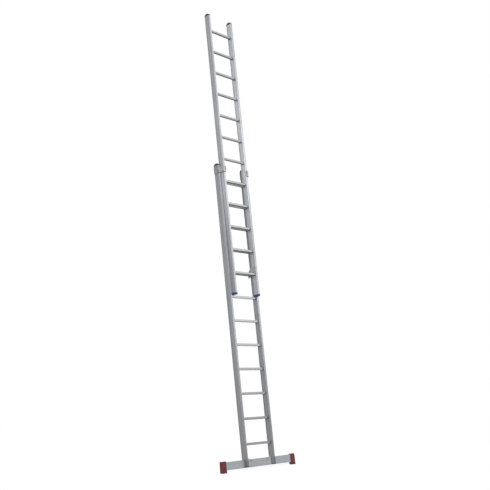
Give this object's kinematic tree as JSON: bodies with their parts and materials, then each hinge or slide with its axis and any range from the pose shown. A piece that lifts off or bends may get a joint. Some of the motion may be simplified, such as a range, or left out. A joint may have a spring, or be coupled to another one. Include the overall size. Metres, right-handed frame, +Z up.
{
  "type": "extension ladder",
  "caption": "Two-section aluminium push-up extension ladder with sliding fly, rung hooks, sprung safety latches and a stabiliser bar; stands at its working angle.",
  "frame": {"origin": "point on the floor midway between the two feet, where the mid-plane of the base section meets the floor", "axes": "+Z up, +Y back towards the wall that the ladder leans on, +X to the right of a climber facing the rungs; the stiles lean back 15 degrees about +X"},
  "size_m": [1.1036, 1.2888, 4.7923],
  "materials": {
    "stile": "mill-finish extrusion",
    "rung": "mill-finish extrusion",
    "bar": "mill-finish extrusion",
    "blue_cap": "moulded",
    "blue_foot": "moulded",
    "grey_boot": "moulded",
    "red_foot": "moulded",
    "bracket": "zinc plated",
    "nylon": "moulded",
    "rivet": "plain",
    "zinc": "zinc plated",
    "hook": "zinc plated",
    "latch": "dark coated",
    "spring": "spring wire"
  },
  "bodies": {
    "base": {"bar_bolts": "zinc", "bar_bracket_left": "bracket", "bar_bracket_right": "bracket", "bar_bracket_rivets": "rivet", "bar_nuts": "zinc", "bar_washers": "zinc", "base_boot_left": "grey_boot", "base_boot_right": "grey_boot", "base_heel_left": "grey_boot", "base_heel_right": "grey_boot", "base_rung_01": "rung", "base_rung_02": "rung", "base_rung_03": "rung", "base_rung_04": "rung", "base_rung_05": "rung", "base_rung_06": "rung", "base_rung_07": "rung", "base_rung_08": "rung", "base_rung_09": "rung", "base_rung_10": "rung", "base_rung_11": "rung", "base_rung_12": "rung", "base_stile_left": "stile", "base_stile_right": "stile", "base_top_cap_left": "blue_cap", "base_top_cap_right": "blue_cap", "guide_bracket_left": "bracket", "guide_bracket_right": "bracket", "guide_pad_left": "nylon", "guide_pad_right": "nylon", "guide_rivets": "rivet", "stabiliser_bar": "bar", "stabiliser_foot_left": "red_foot", "stabiliser_foot_right": "red_foot"},
    "fly": {"fly_foot_left": "blue_foot", "fly_foot_right": "blue_foot", "fly_rung_01": "rung", "fly_rung_02": "rung", "fly_rung_03": "rung", "fly_rung_04": "rung", "fly_rung_05": "rung", "fly_rung_06": "rung", "fly_rung_07": "rung", "fly_rung_08": "rung", "fly_rung_09": "rung", "fly_rung_10": "rung", "fly_rung_11": "rung", "fly_rung_12": "rung", "fly_stile_left": "stile", "fly_stile_right": "stile", "fly_top_cap_left": "blue_cap", "fly_top_cap_right": "blue_cap", "hook_rivets": "rivet", "latch_pins": "zinc", "latch_springs": "spring", "rung_hook_left": "hook", "rung_hook_right": "hook"},
    "latch_left": {"latch_left": "latch"},
    "latch_right": {"latch_right": "latch"}
  },
  "joints": [
    {"name": "fly_slide", "type": "slide", "parent": "base", "child": "fly", "axis": [0, 0.2588, 0.9659], "range_m": [-1.75, 0.5]},
    {"name": "latch_left_hinge", "type": "hinge", "parent": "fly", "child": "latch_left", "pos_m": [-0.1532, 0.53146, 1.96024], "axis": [1, 0, 0], "range_deg": [0, 35], "stiffness_Nm_per_rad": 0.05, "springref_deg": -34.38},
    {"name": "latch_right_hinge", "type": "hinge", "parent": "fly", "child": "latch_right", "pos_m": [0.1532, 0.53146, 1.96024], "axis": [1, 0, 0], "range_deg": [0, 35], "stiffness_Nm_per_rad": 0.05, "springref_deg": -34.38}
  ]
}
